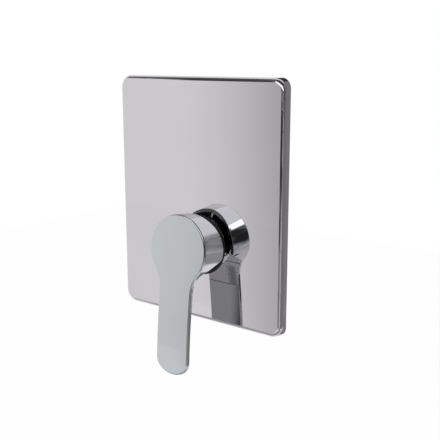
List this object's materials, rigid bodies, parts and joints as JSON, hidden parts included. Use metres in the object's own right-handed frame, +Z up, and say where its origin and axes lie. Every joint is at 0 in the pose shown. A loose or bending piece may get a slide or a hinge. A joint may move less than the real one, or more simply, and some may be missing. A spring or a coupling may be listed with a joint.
{
  "type": "concealed shower mixer",
  "caption": "Wall-mounted single-lever shower mixer: polished upright cover plate, round tilting hub with a long flat lever, and a hidden brass body on a steel bracket, with threaded inlets and outlets.",
  "frame": {"origin": "on the cartridge axis, in the plane of the finished wall, where the cover plate's rim rests", "axes": "+Y into the wall, -Y towards the room, +Z up, +X to the user's right"},
  "size_m": [0.1485, 0.0864, 0.2123],
  "materials": {
    "chrome": "polished",
    "chrome_plate": "polished",
    "brass": "rough cast",
    "turned_brass": "turned",
    "steel": "ground",
    "black_rubber": "matt",
    "foam": "closed-cell foam",
    "housing_plastic": "moulded",
    "rotor_plastic": "moulded",
    "limit_plastic": "moulded",
    "ceramic": "lapped",
    "fibre": "pressed fibre",
    "mesh_steel": "perforated"
  },
  "bodies": {
    "fixed": {"cover_plate": "chrome_plate", "plate_gasket": "foam", "plate_seal": "black_rubber", "hot_limit_ring": "limit_plastic", "cartridge_housing": "housing_plastic", "fixed_disc": "ceramic", "cartridge_base": "rotor_plastic", "base_seals": "black_rubber", "cartridge_nut": "turned_brass", "sleeve": "chrome", "sleeve_seal": "black_rubber", "mixer_body": "brass", "fixing_bracket": "steel", "bracket_screws": "steel", "inlet_strainers": "mesh_steel", "outlet_plug": "turned_brass", "outlet_plug_seal": "fibre"},
    "turning_rotor": {"rotor": "rotor_plastic", "pivot_pin": "steel"},
    "lifting_handle": {"lever_handle": "chrome", "grub_screw": "steel", "spindle": "turned_brass", "spindle_bush": "rotor_plastic"},
    "sliding_disc": {"disc_carrier": "housing_plastic", "moving_disc": "ceramic"}
  },
  "joints": [
    {"name": "temperature_turn", "type": "hinge", "parent": "fixed", "child": "turning_rotor", "pos_m": [0, -0.017, 0], "axis": [0, 1, 0], "range_deg": [-45, 45]},
    {"name": "flow_lift", "type": "hinge", "parent": "turning_rotor", "child": "lifting_handle", "pos_m": [0, -0.017, 0], "axis": [-1, 0, 0], "range_deg": [0, 22]},
    {"name": "disc_slide", "type": "slide", "parent": "turning_rotor", "child": "sliding_disc", "axis": [0, 0, -1], "range_m": [0, 0.0036]}
  ],
  "couplings": [
    {"joint": "disc_slide", "follows": "flow_lift", "m_per_rad": 0.00894}
  ]
}
